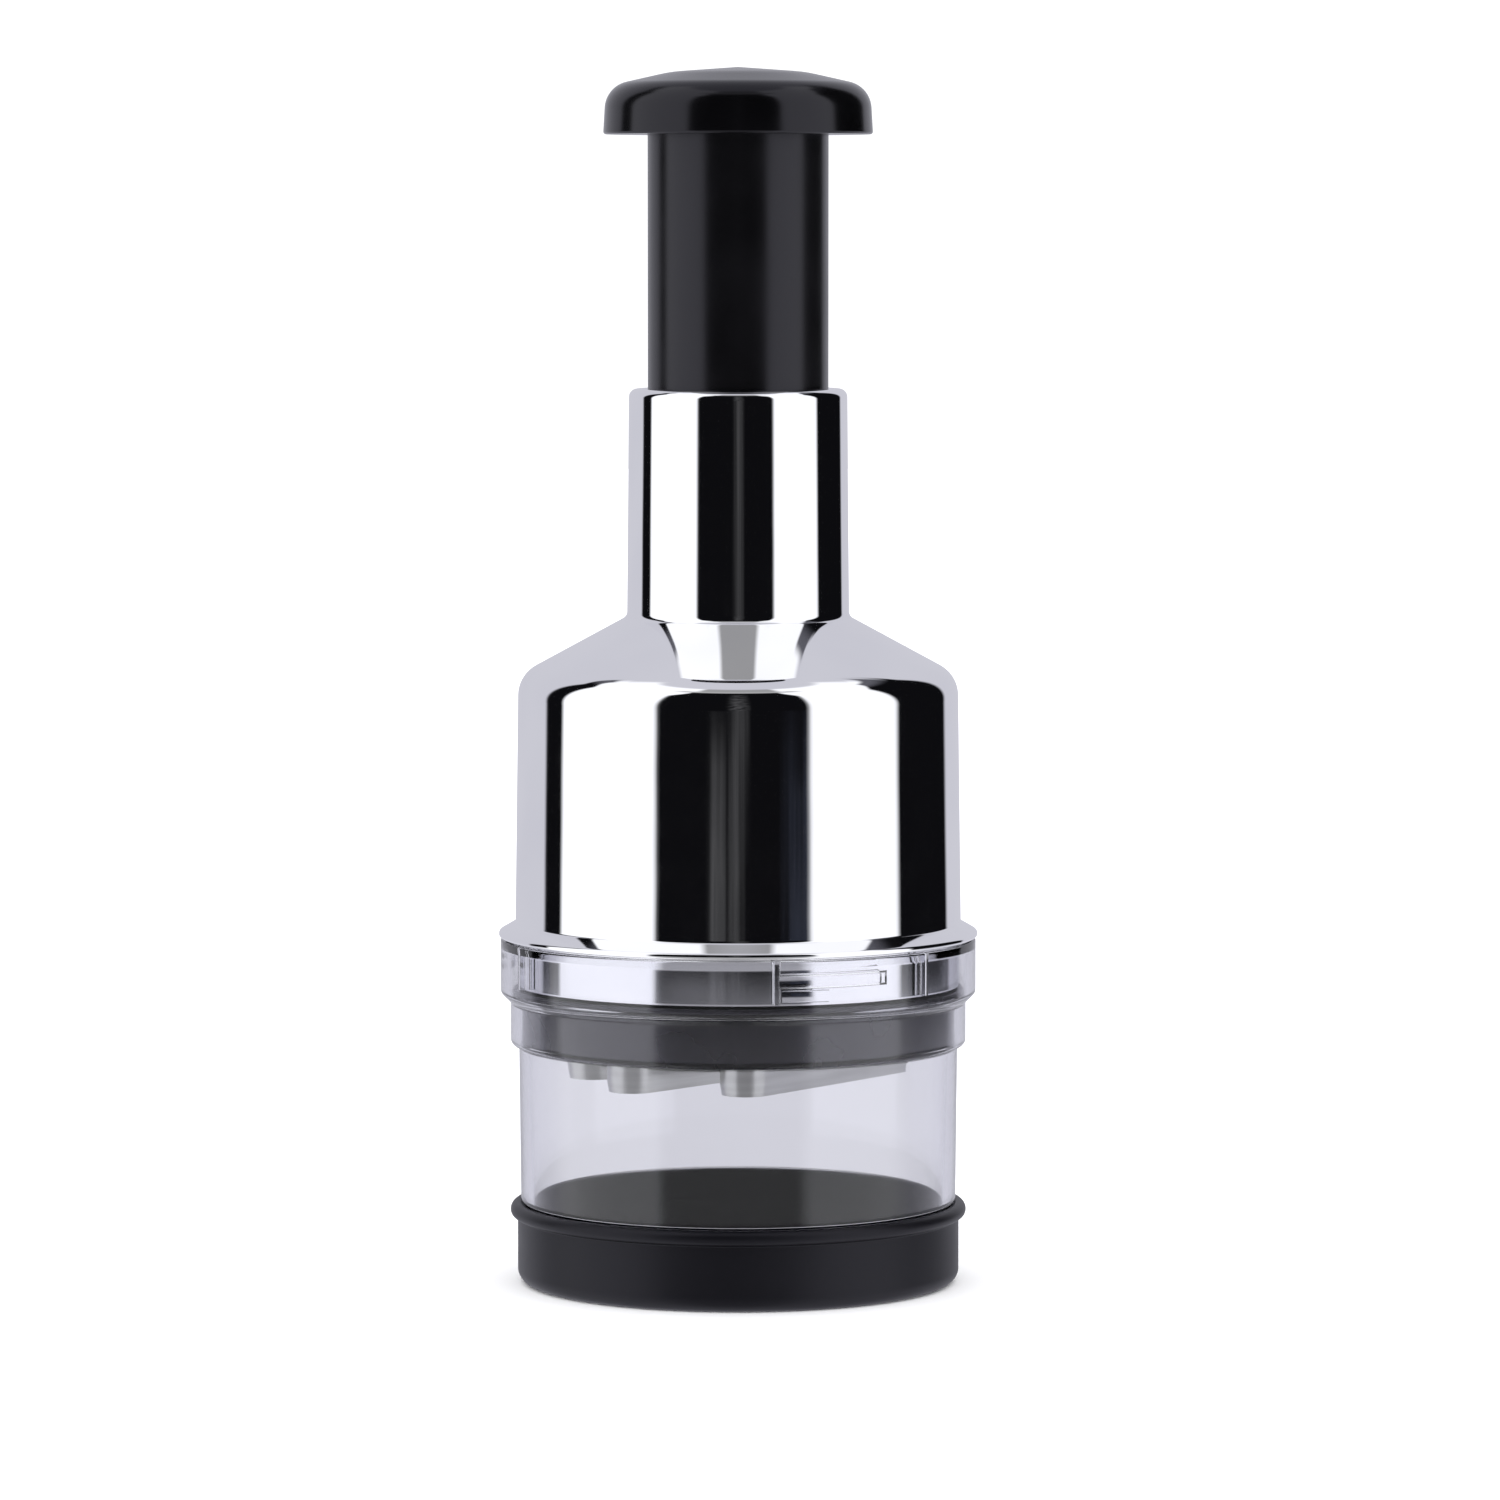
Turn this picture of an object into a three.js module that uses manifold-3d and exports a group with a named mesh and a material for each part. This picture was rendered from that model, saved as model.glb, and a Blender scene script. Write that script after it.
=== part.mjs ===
// A press-down hand chopper: a chrome housing on a clear chamber, with a black knob and base cap.
// Lengths are in millimetres. It stands on z = 0, its axis is Z and its front faces -Y.
import * as THREE from "three";
import { mergeVertices } from "three/addons/utils/BufferGeometryUtils.js";
import Module from "manifold-3d";

const wasm = await Module();
wasm.setup();

// Clearances, and how far a cutter or a joined piece runs into its neighbour
const fit_gap = 0.3;
const run_gap = 0.6;
const overrun = 1;
const full_turn_deg = 360;

// Clear chamber
const chamber_inset = 0.6;
const chamber_taper = 0.3;
const spigot_step = 0.7;
const chamber_wall = 1.8;
const lower_wall_height = 28.4;
const step_out = 1.5;
const step_height = 9.2;
const step_edge_fillet = 1;
const collar_height = 10.2;
const collar_out = 1.8;
const collar_slope_height = 1.8;
const collar_slope_fillet = 0.9;
const ledge_rise = 0.4;
const chamber_edge_fillet = 0.4;

// Bayonet: lugs on the housing's skirt, tracks in the chamber's collar
const track_count = 3;
const track_start_deg = 8.7;
const track_sweep_deg = 44.5;
const track_stop_deg = 1.5;
const lug_sweep_deg = 12;
const lug_play_deg = 0.5;
const lug_out = 1;
const lug_height = 2.2;
const lug_lift = 0.8;
const track_ledge_height = 2.5;

// Base cap
const cap_wall = 1;
const cap_height = 14.7;
const cap_floor = 1.8;
const cap_edge_fillet = 2.5;
const cap_lip_out = 1.3;
const cap_lip_height = 3.1;
const cap_lip_fillet = 1.4;
const foot_width = 8.5;
const foot_recess = 0.6;

// Chrome housing
const shell_wall = 1;
const body_radius = 39.8;
const body_taper = 0.6;
const flange_out = 0.3;
const flange_side = 1.2;
const flange_fillet = 0.5;
const flare_fillet = 0.7;
const flare_height = 1.7;
const body_height = 44.4;
const shoulder_fillet = 6;
const cone_height = 10.7;
const neck_taper = 0.4;
const neck_height = 41.1;
const neck_root_fillet = 1.5;
const neck_rim_fillet = 0.9;
const neck_rim_height = 1;

// Plunger
const tube_radius = 16.3;
const tube_wall = 1.6;
const tube_showing = 45.7;
const tube_in_knob = 4.5;
const rim_clearance = 0.8;
const bush_wall = 1.8;
const knob_radius = 24.3;
const knob_draft = 0.5;
const knob_side = 8.6;
const knob_dome_rise = 3.5;
const knob_edge_fillet = 5;
const knob_boss_depth = 7;
const knob_cavity_radius = 8;
const knob_top_wall = 8;
const hub_height = 5;

// The blade's place at the end of the stroke
const edge_clearance = 0.5;

// Blade: a strip that runs to and fro across the chamber
const blade_thickness = 0.9;
const blade_edge_thickness = 0.25;
const blade_bevel_height = 2;
const blade_to_wall = 3.4;
const bend_clearance = 0.9;
const bend_along_shares = [-0.565, 0.742, -0.84, 0.742, -0.565];
const bend_pitch_share = 3 / 11;
const end_along_share = 0.71;
const end_across_share = 0.59;
const blade_turned_deg = 48.9;
const blade_bend_steps = 6;
const tab_length = 5;
const tab_stand = 0.8;
const tab_along_shares = [[0.35], [], [0.93], [0.07], [], [0.65]];

// Wiper
const wiper_floor = 2;
const wiper_wall = 1.6;
const wiper_lip_height = 0.8;
const wiper_slot_clearance = 0.4;

// Carrier and index rotor, turned by the blade shaft
const carrier_margin = 1.5;
const carrier_height = 4;
const rotor_share = 0.588;
const rotor_flange_height = 2.5;
const rotor_root_rise = 1.6;
const tooth_count = 12;
const tooth_inner_share = 0.45;
const tooth_to_screw = 1.6;
const tooth_rise = 1.75;
const crown_radius = 24;
const crown_root_rise = 0.9;
const crown_flange_height = 2.5;

// Inner frame
const frame_below_shoulder = 10.6;
const frame_plate_height = 2.5;
const frame_rim_wall = 1.5;
const frame_rim_up = 6;
const frame_rim_down = 8;
const column_clearance = 1.3;
const column_wall = 3.2;
const column_height = 21;
const column_top_height = 2.5;
const bush_from_root = 1.5;

// Shaft
const shaft_radius = 4;
const journal_radius = 3;
const shaft_groove_radius = 2.2;
const shaft_tip = 1.5;
const shaft_bore_depth = 10;
const thrust_washer_radius = 7;
const washer_height = 1;
const clip_radius = 6;
const clip_height = 0.8;
const clip_mouth_deg = 80;

// Screws
const screw_count = 3;
const screw_radius = 1.2;
const screw_head_radius = 2.4;
const screw_head_height = 1.8;
const screw_head_fillet = 0.7;
const screw_to_edge = 0.5;
const crown_screw_circle = 20;
const screw_floor = 0.8;
const shaft_screw_radius = 1.5;
const shaft_screw_head_radius = 3.2;
const shaft_screw_head_height = 1.9;
const shaft_screw_recess = 2.5;
const drive_width_share = 0.26;
const drive_length_share = 1.2;
const drive_depth_share = 0.5;

// Return spring
const wire_radius = 0.9;
const spring_to_tube = 3.1;
const spring_curls = 9;
const spring_end_pitch = 2.5;
const spring_curl_steps = 8;
const wire_sides = 5;

// Facets round a turned piece
const outer_facets = 40;
const inner_facets = 36;
const shaft_facets = 18;
const screw_facets = 12;
const arc_steps = 4;
const fine_fillet = 1;

// Radii that follow
const chamber_radius = body_radius + body_taper - chamber_inset;
const spigot_radius = chamber_radius - chamber_taper - spigot_step;
const cap_inner_radius = spigot_radius + fit_gap;
const cap_radius = cap_inner_radius + cap_wall;
const cap_lip_radius = cap_radius + cap_lip_out;
const foot_inner_radius = cap_radius - foot_width;
const step_radius = chamber_radius + step_out;
const collar_radius = step_radius + collar_out;
const wiper_seat_radius = step_radius - chamber_wall;
const collar_inner_radius = collar_radius - chamber_wall;
const wiper_radius = wiper_seat_radius - fit_gap;
const lug_radius = collar_inner_radius - fit_gap;
const skirt_radius = lug_radius - lug_out;
const skirt_inner_radius = skirt_radius - shell_wall;
const flange_radius = collar_radius + flange_out;
const frame_radius = body_radius - shell_wall - fit_gap;
const neck_inner_radius = tube_radius + fit_gap + bush_wall + fit_gap;
const neck_radius = neck_inner_radius + shell_wall;
const tube_inner_radius = tube_radius - tube_wall;
const column_radius = tube_inner_radius - column_clearance;
const spring_radius = tube_inner_radius - spring_to_tube - wire_radius;
const hub_radius = tube_inner_radius - fit_gap;
const blade_reach = spigot_radius - chamber_wall - blade_to_wall;
const carrier_radius = blade_reach + carrier_margin;
const rotor_radius = blade_reach * rotor_share;
const carrier_screw_circle = rotor_radius - screw_to_edge - screw_head_radius;
const tooth_outer_radius = carrier_screw_circle - screw_head_radius - tooth_to_screw;
const rotor_bore = shaft_radius + fit_gap;
const tooth_inner_radius = rotor_bore + (tooth_outer_radius - rotor_bore) * tooth_inner_share;

// Heights that follow, from the floor up
const chamber_bottom = cap_floor + fit_gap;
const spigot_top = cap_height + fit_gap;
const step_z = spigot_top + lower_wall_height;
const wiper_seat_z = step_z + ledge_rise;
const collar_z = step_z + step_height;
const collar_ledge_z = collar_z + ledge_rise;
const collar_top = collar_z + collar_height;
const flange_bottom = collar_top + fit_gap;
const flange_top = flange_bottom + flange_side;
const flare_top = flange_top + flare_height;
const shoulder_z = flare_top + body_height;
const neck_bottom = shoulder_z + cone_height;
const neck_top = neck_bottom + neck_height;
const knob_bottom = neck_top + tube_showing;
const knob_side_top = knob_bottom + knob_side;
const knob_top = knob_side_top + knob_dome_rise;

const wiper_bottom = wiper_seat_z + fit_gap;
const wiper_floor_top = wiper_bottom + wiper_floor;
const wiper_lip_bottom = collar_ledge_z + fit_gap;
const wiper_lip_top = wiper_lip_bottom + wiper_lip_height;
const skirt_bottom = wiper_lip_top + fit_gap;
const lug_bottom = skirt_bottom + lug_lift;
const lug_top = lug_bottom + lug_height;
const track_ledge_bottom = lug_top + fit_gap;
const track_ledge_top = track_ledge_bottom + track_ledge_height;

// The frame hangs below the shoulder, the carrier below the frame, and the room under it is the stroke
const plate_top = shoulder_z - frame_below_shoulder;
const plate_bottom = plate_top - frame_plate_height;
const crown_flange_bottom = plate_bottom - crown_flange_height;
const crown_root = crown_flange_bottom - crown_root_rise;
const rotor_root = crown_root - tooth_rise - run_gap - tooth_rise;
const rotor_flange_top = rotor_root - rotor_root_rise;
const carrier_top = rotor_flange_top - rotor_flange_height;
const carrier_bottom = carrier_top - carrier_height;
const travel = carrier_bottom - run_gap - wiper_floor_top;
const blade_bottom = cap_floor + edge_clearance + travel;
const column_top = plate_top + column_height;
const tube_bottom = plate_top + run_gap + travel;
const tube_top = knob_bottom + tube_in_knob;

const hub_top = knob_bottom - knob_boss_depth;
const hub_bottom = hub_top - hub_height;
const journal_z = hub_bottom - fit_gap - washer_height;
const clip_bottom = hub_top + fit_gap;
const clip_top = clip_bottom + clip_height;
const shaft_top = clip_top + shaft_tip;
const shaft_bottom = carrier_top + fit_gap;
const spring_bottom = column_top + washer_height + fit_gap;
const spring_top = hub_bottom - fit_gap;

const materials = {
  chrome: new THREE.MeshStandardMaterial({ color: 0xc8c8d2, roughness: 0.06, metalness: 1 }),
  steel: new THREE.MeshStandardMaterial({ color: 0xb4b6ba, roughness: 0.25, metalness: 1 }),
  black_gloss: new THREE.MeshStandardMaterial({ color: 0x0c0c0e, roughness: 0.12, metalness: 0 }),
  black_satin: new THREE.MeshStandardMaterial({ color: 0x232228, roughness: 0.45, metalness: 0 }),
  grey_plastic: new THREE.MeshStandardMaterial({ color: 0x55555c, roughness: 0.4, metalness: 0 }),
  white_plastic: new THREE.MeshStandardMaterial({ color: 0xd8d8d6, roughness: 0.45, metalness: 0 }),
  clear: new THREE.MeshStandardMaterial({
    color: 0xd2d2dc,
    roughness: 0.05,
    metalness: 0,
    transparent: true,
    opacity: 0.35,
  }),
};

const group = new THREE.Group();

// A closed geometry as a solid that can be cut and joined.
function solid_of(geometry) {
  geometry.deleteAttribute("normal");
  geometry.deleteAttribute("uv");
  const welded = mergeVertices(geometry);
  const corners = welded.index.array;
  const kept = [];
  for (let i = 0; i < corners.length; i += 3) {
    const [a, b, c] = corners.slice(i, i + 3);
    if (a !== b && b !== c && c !== a) kept.push(a, b, c);
  }
  const vertProperties = new Float32Array(welded.attributes.position.array);
  const triVerts = new Uint32Array(kept);
  return new wasm.Manifold(new wasm.Mesh({ numProp: 3, vertProperties, triVerts }));
}

// Adds a solid to the model as a named piece.
function piece(name, solid, material) {
  const { vertProperties, triVerts } = solid.getMesh();
  const geometry = new THREE.BufferGeometry();
  geometry.setAttribute("position", new THREE.BufferAttribute(vertProperties, 3));
  geometry.setIndex(new THREE.BufferAttribute(triVerts, 1));
  geometry.computeVertexNormals();
  const mesh = new THREE.Mesh(geometry, material);
  mesh.name = name;
  group.add(mesh);
  return mesh;
}

// An outline of corners [x, y, fillet], with each fillet drawn as an arc, or as a chamfer where small.
function rounded(corners) {
  const points = [];
  for (const [i, [x, y, fillet = 0]] of corners.entries()) {
    const here = new THREE.Vector2(x, y);
    if (fillet === 0) {
      points.push(here);
      continue;
    }
    const before = new THREE.Vector2(...corners.at(i - 1).slice(0, 2)).sub(here).normalize();
    const after = new THREE.Vector2(...corners[(i + 1) % corners.length].slice(0, 2));
    after.sub(here).normalize();
    const half_angle = Math.acos(before.dot(after)) / 2;
    const centre = before.clone().add(after).normalize();
    centre.multiplyScalar(fillet / Math.sin(half_angle)).add(here);
    const tangent = fillet / Math.tan(half_angle);
    const from = before.multiplyScalar(tangent).add(here).sub(centre);
    const to = after.multiplyScalar(tangent).add(here).sub(centre);
    const sweep = Math.atan2(from.cross(to), from.dot(to));
    const steps = fillet > fine_fillet ? arc_steps : 1;
    for (let step = 0; step <= steps; step += 1) {
      const spoke = from.clone().rotateAround(new THREE.Vector2(), (sweep * step) / steps);
      points.push(spoke.add(centre));
    }
  }
  return points;
}

// A turned solid from the corners [radius, z, fillet] of its half section.
function turned(corners, facets = inner_facets) {
  const points = rounded(corners);
  if (THREE.ShapeUtils.area(points) < 0) points.reverse();
  const closes_on_axis = points.some((point) => point.x === 0);
  if (closes_on_axis) {
    while (points[0].x !== 0 || points.at(-1).x !== 0) points.push(points.shift());
  } else {
    points.push(points[0].clone());
  }
  const geometry = new THREE.LatheGeometry(points, facets);
  geometry.rotateX(Math.PI / 2);
  return solid_of(geometry);
}

// A plain ring between two radii and two heights.
function ring(inner, outer, bottom, top, facets = inner_facets) {
  return turned([[inner, bottom], [outer, bottom], [outer, top], [inner, top]], facets);
}

// A plain cylinder along Z, moved to (x, y).
function rod(radius, bottom, top, x = 0, y = 0) {
  const geometry = new THREE.CylinderGeometry(radius, radius, top - bottom, screw_facets);
  geometry.rotateX(Math.PI / 2);
  geometry.translate(x, y, (bottom + top) / 2);
  return solid_of(geometry);
}

// Part of a ring. Angles are in degrees from the front, counted towards the right-hand side.
function ring_part(inner, outer, from_deg, to_deg, bottom, top) {
  const [from, to] = [from_deg, to_deg].map((deg) => THREE.MathUtils.degToRad(deg) - Math.PI / 2);
  const shape = new THREE.Shape();
  shape.absarc(0, 0, outer, from, to, false);
  shape.absarc(0, 0, inner, to, from, true);
  const depth = top - bottom;
  const geometry = new THREE.ExtrudeGeometry(shape, { depth, bevelEnabled: false, curveSegments: arc_steps });
  geometry.translate(0, 0, bottom);
  return solid_of(geometry);
}

// The places (x, y) of screws on a circle.
function screw_places(circle) {
  const places = [];
  for (let i = 0; i < screw_count; i += 1) {
    const angle = (i * 2 * Math.PI) / screw_count;
    places.push([circle * Math.cos(angle), circle * Math.sin(angle)]);
  }
  return places;
}

// A pan-head screw: the head sits on z = 0, the shank hangs below it and the drive is a cross.
function screw(radius, head_radius, head_height, length) {
  const body = turned(
    [
      [0, head_height],
      [head_radius, head_height, screw_head_fillet],
      [head_radius, 0],
      [radius, 0],
      [radius, radius - length],
      [0, -length],
    ],
    screw_facets,
  );
  const drive_depth = head_height * drive_depth_share;
  let cut = body;
  for (const turn of [0, Math.PI / 2]) {
    const width = head_radius * drive_width_share;
    const bar = new THREE.BoxGeometry(head_radius * drive_length_share, width, drive_depth + overrun);
    bar.translate(0, 0, head_height + (overrun - drive_depth) / 2);
    bar.rotateZ(turn);
    cut = cut.subtract(solid_of(bar));
  }
  return cut;
}

function base_cap() {
  const solid = turned(
    [
      [0, foot_recess],
      [foot_inner_radius, foot_recess],
      [foot_inner_radius, 0],
      [cap_radius, 0, cap_edge_fillet],
      [cap_radius, cap_height - cap_lip_height],
      [cap_lip_radius, cap_height - cap_lip_height, cap_lip_fillet],
      [cap_lip_radius, cap_height, cap_lip_fillet],
      [cap_inner_radius, cap_height],
      [cap_inner_radius, cap_floor],
      [0, cap_floor],
    ],
    outer_facets,
  );
  piece("base_cap", solid, materials.black_satin);
}

function chopping_chamber() {
  let solid = turned(
    [
      [spigot_radius, chamber_bottom],
      [spigot_radius, spigot_top],
      [spigot_radius + spigot_step, spigot_top],
      [chamber_radius, step_z],
      [step_radius, step_z, step_edge_fillet],
      [step_radius, collar_ledge_z - collar_slope_height],
      [collar_radius, collar_ledge_z, collar_slope_fillet],
      [collar_radius, collar_top, chamber_edge_fillet],
      [collar_inner_radius, collar_top],
      [collar_inner_radius, collar_ledge_z],
      [wiper_seat_radius, collar_ledge_z],
      [wiper_seat_radius, wiper_seat_z],
      [chamber_radius - chamber_wall, wiper_seat_z, chamber_edge_fillet],
      [spigot_radius - chamber_wall, chamber_bottom],
    ],
    outer_facets,
  );
  const track_inner_radius = skirt_radius + fit_gap;
  const track_root_radius = (collar_inner_radius + collar_radius) / 2;
  const ledge_end_deg = lug_sweep_deg + 2 * lug_play_deg + track_stop_deg;
  for (let i = 0; i < track_count; i += 1) {
    const start = track_start_deg + (i * full_turn_deg) / track_count;
    const end = start + track_sweep_deg;
    const stop_bottom = lug_bottom - fit_gap;
    const stop_top = collar_top - fit_gap;
    const runs = [
      [start, start + track_stop_deg, stop_bottom, stop_top],
      [end - track_stop_deg, end, stop_bottom, stop_top],
      [start, end - ledge_end_deg, track_ledge_bottom, track_ledge_top],
    ];
    for (const [from, to, bottom, top] of runs) {
      const part = ring_part(track_inner_radius, track_root_radius, from, to, bottom, top);
      solid = solid.add(part);
    }
  }
  piece("chopping_chamber", solid, materials.clear);
}

function housing_shell() {
  const cone_slope = cone_height / (body_radius - neck_radius - neck_taper);
  const cone_wall = shell_wall * Math.hypot(1, cone_slope);
  const neck_root_radius = neck_radius + neck_taper;
  const cone_inner_top = neck_bottom + (neck_root_radius - neck_inner_radius) * cone_slope - cone_wall;
  const cone_inner_bottom = shoulder_z + shell_wall * cone_slope - cone_wall;
  let solid = turned(
    [
      [tube_radius + rim_clearance, neck_top],
      [neck_radius, neck_top, neck_rim_fillet],
      [neck_root_radius, neck_bottom, neck_root_fillet],
      [body_radius, shoulder_z, shoulder_fillet],
      [body_radius + body_taper, flare_top, flare_fillet],
      [flange_radius, flange_top, flange_fillet],
      [flange_radius, flange_bottom, flange_fillet / 2],
      [skirt_radius, flange_bottom],
      [skirt_radius, skirt_bottom],
      [skirt_inner_radius, skirt_bottom],
      [skirt_inner_radius, flange_top],
      [body_radius + body_taper - shell_wall, flare_top],
      [body_radius - shell_wall, cone_inner_bottom, shoulder_fillet - shell_wall],
      [neck_inner_radius, cone_inner_top],
      [neck_inner_radius, neck_top - neck_rim_height],
      [tube_radius + rim_clearance, neck_top - neck_rim_height],
    ],
    outer_facets,
  );
  for (let i = 0; i < track_count; i += 1) {
    const start = track_start_deg + track_stop_deg + lug_play_deg + (i * full_turn_deg) / track_count;
    const root = (skirt_inner_radius + skirt_radius) / 2;
    solid = solid.add(ring_part(root, lug_radius, start, start + lug_sweep_deg, lug_bottom, lug_top));
  }
  piece("housing_shell", solid, materials.chrome);
}

function neck_bush() {
  const bottom = neck_bottom + bush_from_root;
  const top = neck_top - neck_rim_height - fit_gap;
  const solid = ring(tube_radius + fit_gap, neck_inner_radius - fit_gap, bottom, top);
  piece("neck_bush", solid, materials.black_satin);
}

function inner_frame() {
  const rim_inner_radius = frame_radius - frame_rim_wall;
  const column_inner_radius = column_radius - column_wall;
  let solid = turned([
    [frame_radius, plate_bottom - frame_rim_down],
    [frame_radius, plate_top + frame_rim_up],
    [rim_inner_radius, plate_top + frame_rim_up],
    [rim_inner_radius, plate_top],
    [column_radius, plate_top],
    [column_radius, column_top],
    [shaft_radius + fit_gap, column_top],
    [shaft_radius + fit_gap, column_top - column_top_height],
    [column_inner_radius, column_top - column_top_height],
    [column_inner_radius, plate_bottom],
    [rim_inner_radius, plate_bottom],
    [rim_inner_radius, plate_bottom - frame_rim_down],
  ]);
  for (const [x, y] of screw_places(crown_screw_circle)) {
    solid = solid.subtract(rod(screw_radius + fit_gap, plate_bottom - overrun, plate_top + overrun, x, y));
  }
  piece("inner_frame", solid, materials.white_plastic);
}

// A ring of saw teeth on z = 0, each rising along its pitch to an upright face.
function saw_ring() {
  const pitch = (2 * Math.PI) / tooth_count;
  let solid = ring(tooth_inner_radius, tooth_outer_radius, -overrun, 0);
  for (let i = 0; i < tooth_count; i += 1) {
    const wedge = new THREE.BoxGeometry(1, 1, 1);
    const corner = wedge.attributes.position;
    for (let k = 0; k < corner.count; k += 1) {
      const outer = corner.getX(k) > 0;
      const late = corner.getY(k) > 0;
      const high = corner.getZ(k) > 0;
      const radius = outer ? tooth_outer_radius : tooth_inner_radius;
      const angle = (late ? i + 1 : i) * pitch;
      const crest = late ? tooth_rise : 0;
      corner.setXYZ(k, radius * Math.cos(angle), radius * Math.sin(angle), high ? crest : -overrun);
    }
    solid = solid.add(solid_of(wedge));
  }
  return solid;
}

function index_rotor() {
  let solid = turned([
    [rotor_bore, carrier_top],
    [rotor_radius, carrier_top],
    [rotor_radius, rotor_flange_top],
    [tooth_outer_radius, rotor_flange_top],
    [tooth_outer_radius, rotor_root],
    [rotor_bore, rotor_root],
  ]);
  solid = solid.add(saw_ring().translate([0, 0, rotor_root]));
  for (const [x, y] of screw_places(carrier_screw_circle)) {
    const hole = rod(screw_radius + fit_gap, carrier_top - overrun, rotor_flange_top + overrun, x, y);
    solid = solid.subtract(hole);
  }
  piece("index_rotor", solid, materials.white_plastic);
}

function crown_ring() {
  let solid = turned([
    [tooth_inner_radius, crown_root],
    [tooth_outer_radius, crown_root],
    [tooth_outer_radius, crown_flange_bottom],
    [crown_radius, crown_flange_bottom],
    [crown_radius, plate_bottom],
    [tooth_inner_radius, plate_bottom],
  ]);
  const teeth = saw_ring().rotate([180, 0, 0]).translate([0, 0, crown_root]);
  solid = solid.add(teeth);
  for (const [x, y] of screw_places(crown_screw_circle)) {
    const hole = rod(screw_radius + fit_gap, crown_flange_bottom - overrun, plate_bottom + overrun, x, y);
    solid = solid.subtract(hole);
  }
  piece("crown_ring", solid, materials.grey_plastic);
}

// The bends and free ends of the blade in order. Turn is -1 for a right-hand bend and 1 for a left.
function blade_stops() {
  const middle = (bend_along_shares.length - 1) / 2;
  const end_y = end_across_share * blade_reach;
  const bend_pitch = bend_pitch_share * blade_reach;
  const bend_radius = (bend_pitch - bend_clearance) / 2;
  const stops = bend_along_shares.map((share, i) => ({
    x: share * blade_reach,
    y: (i - middle) * bend_pitch,
    radius: bend_radius,
    turn: i % 2 === 0 ? -1 : 1,
  }));
  const end = { x: end_along_share * blade_reach, radius: 0, turn: 1 };
  return [{ ...end, y: -end_y }, ...stops, { ...end, y: end_y }];
}

// A point on a bend where the strip has a heading.
function on_bend({ x, y, radius, turn }, heading) {
  return {
    x: x + turn * radius * Math.sin(heading),
    y: y - turn * radius * Math.cos(heading),
    heading,
  };
}

// The straight legs of the blade, each tangent to the bends at its two ends.
function blade_legs() {
  const stops = blade_stops();
  return stops.slice(1).map((to, i) => {
    const from = stops[i];
    const lean = Math.asin((from.radius + to.radius) / Math.hypot(to.x - from.x, to.y - from.y));
    const heading = Math.atan2(to.y - from.y, to.x - from.x) + from.turn * lean;
    return { start: on_bend(from, heading), end: on_bend(to, heading), heading };
  });
}

// The blade's outline in plan, at a thickness.
function blade_outline(thickness) {
  const legs = blade_legs();
  const bends = blade_stops().slice(1, -1);
  const line = [legs[0].start];
  for (const [i, bend] of bends.entries()) {
    const [from, to] = [legs[i].heading, legs[i + 1].heading];
    const full = 2 * Math.PI;
    const sweep = bend.turn * ((((to - from) * bend.turn) % full + full) % full);
    for (let step = 0; step <= blade_bend_steps; step += 1) {
      line.push(on_bend(bend, from + (sweep * step) / blade_bend_steps));
    }
  }
  line.push(legs.at(-1).end);
  const side = (half) => ({ x, y, heading }) =>
    new THREE.Vector2(x - half * Math.sin(heading), y + half * Math.cos(heading));
  const right = line.map(side(-thickness / 2));
  const left = line.map(side(thickness / 2)).reverse();
  return [...right, ...left];
}

// A solid through outlines of like points, given as [outline, z] from the bottom up.
function lofted(layers) {
  const count = layers[0][0].length;
  const places = layers.flatMap(([outline, z]) => outline.flatMap(({ x, y }) => [x, y, z]));
  const faces = [];
  const cap = THREE.ShapeUtils.triangulateShape(layers[0][0], []);
  const last = (layers.length - 1) * count;
  for (const [a, b, c] of cap) faces.push(c, b, a, last + a, last + b, last + c);
  for (let layer = 0; layer < layers.length - 1; layer += 1) {
    for (let i = 0; i < count; i += 1) {
      const [a, b] = [layer * count + i, layer * count + ((i + 1) % count)];
      faces.push(a, b, b + count, a, b + count, a + count);
    }
  }
  const geometry = new THREE.BufferGeometry();
  geometry.setAttribute("position", new THREE.Float32BufferAttribute(places, 3));
  geometry.setIndex(faces);
  return solid_of(geometry);
}

// Upright bars on the blade's legs, grown by a clearance where they cut their slots.
function blade_tabs(clearance, bottom, top) {
  const bars = [];
  for (const [i, { start, end, heading }] of blade_legs().entries()) {
    for (const share of tab_along_shares[i]) {
      const length = tab_length + 2 * clearance;
      const bar = new THREE.BoxGeometry(length, blade_thickness + 2 * clearance, top - bottom);
      bar.rotateZ(heading);
      const x = THREE.MathUtils.lerp(start.x, end.x, share);
      const y = THREE.MathUtils.lerp(start.y, end.y, share);
      bar.translate(x, y, (bottom + top) / 2);
      bars.push(solid_of(bar));
    }
  }
  return bars;
}

function chopping_blade() {
  const strip = blade_outline(blade_thickness);
  let solid = lofted([
    [blade_outline(blade_edge_thickness), blade_bottom],
    [strip, blade_bottom + blade_bevel_height],
    [strip, carrier_bottom],
  ]);
  for (const tab of blade_tabs(0, carrier_bottom - overrun, carrier_top + tab_stand)) {
    solid = solid.add(tab);
  }
  piece("chopping_blade", solid.rotate([0, 0, blade_turned_deg]), materials.steel);
}

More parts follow.
